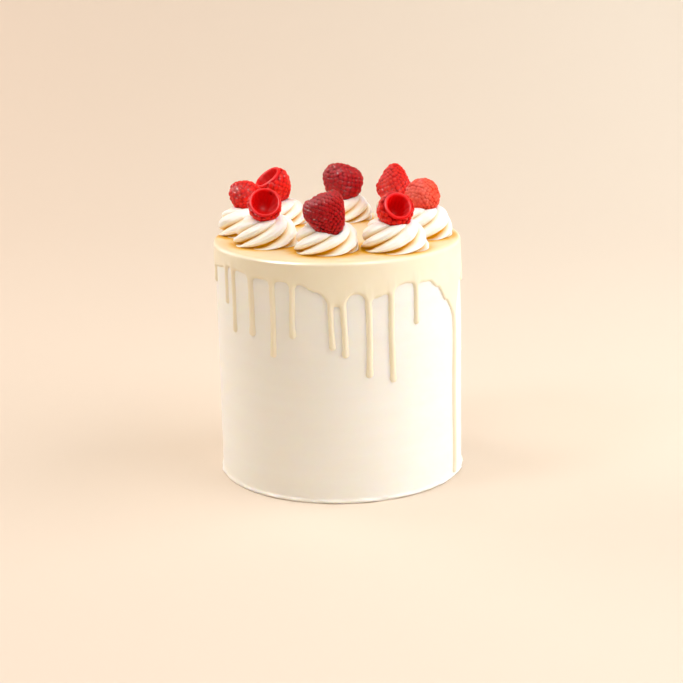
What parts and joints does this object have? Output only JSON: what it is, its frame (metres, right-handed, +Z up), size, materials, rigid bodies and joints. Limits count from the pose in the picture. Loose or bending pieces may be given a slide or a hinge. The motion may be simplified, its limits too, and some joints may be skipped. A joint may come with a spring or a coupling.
{
  "type": "raspberry cake",
  "caption": "Tall round white buttercream cake with an ivory drip glaze and a ring of piped cream rosettes, each topped with a raspberry",
  "frame": {"origin": "centre of the cake's flat foot, on the surface that it rests on", "axes": "+Z up along the cake's axis, +X to the right and -Y towards the front side that the picture shows"},
  "size_m": [0.1585, 0.1597, 0.1902],
  "materials": {
    "buttercream": "smooth satin white buttercream, scraped by hand",
    "glaze": "glossy ivory white-chocolate glaze",
    "piped_cream": "soft satin piped cream with deep grooves",
    "raspberry": "moist, glossy red fruit"
  },
  "bodies": {
    "root": {"cake": "buttercream", "drip_glaze": "glaze", "rosette_1": "piped_cream", "rosette_2": "piped_cream", "rosette_3": "piped_cream", "rosette_4": "piped_cream", "rosette_5": "piped_cream", "rosette_6": "piped_cream", "rosette_7": "piped_cream", "rosette_8": "piped_cream", "raspberry_1": "raspberry", "raspberry_2": "raspberry", "raspberry_3": "raspberry", "raspberry_4": "raspberry", "raspberry_5": "raspberry", "raspberry_6": "raspberry", "raspberry_7": "raspberry", "raspberry_8": "raspberry"}
  },
  "joints": []
}
